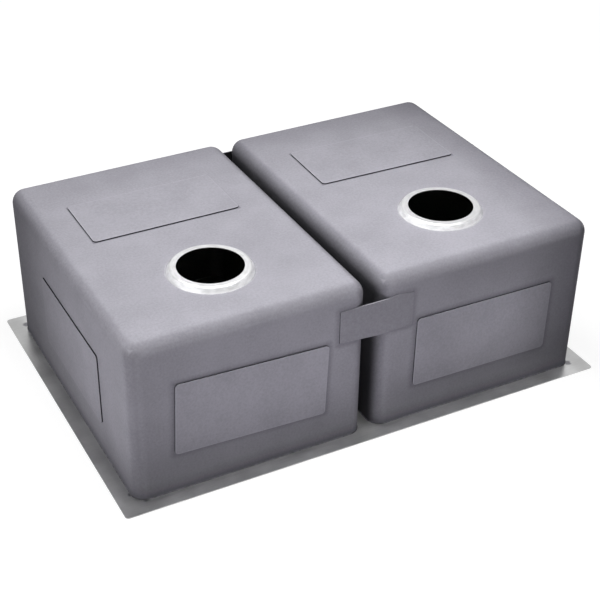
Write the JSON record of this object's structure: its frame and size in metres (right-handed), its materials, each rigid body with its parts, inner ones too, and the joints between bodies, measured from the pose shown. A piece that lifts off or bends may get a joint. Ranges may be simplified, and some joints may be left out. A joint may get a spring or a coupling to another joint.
{
  "type": "double bowl kitchen sink",
  "caption": "Undermount kitchen sink: equal deep bowls side by side on a flat rim, drain holes in pressed recesses near the wall side, grey sprayed underside, sound pads.",
  "frame": {"origin": "centre of the rim's sealing face, on the ground: the sink rests upside down on its rim", "axes": "+X along the rim from the left bowl to the right bowl, as a user facing the fitted sink has them, +Y towards the room, -Y towards the wall and the drains, +Z out of the bowl bottoms. The fitted sink is turned over, so +Z points down and the rim is on top."},
  "size_m": [0.73, 0.5056, 0.247],
  "materials": {
    "rim_steel": "fine satin",
    "bowl_steel": "satin, bright round the drain",
    "weld_steel": "dressed weld",
    "undercoating": "sprayed, finely speckled, low sheen",
    "coated_pad": "rubber pad under the sprayed coat",
    "coated_steel": "steel strip under the sprayed coat"
  },
  "bodies": {
    "root": {"rim_plate": "rim_steel", "left_bowl": "bowl_steel", "right_bowl": "bowl_steel", "left_weld_bead": "weld_steel", "right_weld_bead": "weld_steel", "left_undercoating": "undercoating", "right_undercoating": "undercoating", "left_bottom_pad": "coated_pad", "right_bottom_pad": "coated_pad", "left_wall_pad": "coated_pad", "right_wall_pad": "coated_pad", "left_room_pad": "coated_pad", "right_room_pad": "coated_pad", "left_end_pad": "coated_pad", "right_end_pad": "coated_pad", "wall_strap": "coated_steel", "room_strap": "coated_steel"}
  },
  "joints": []
}
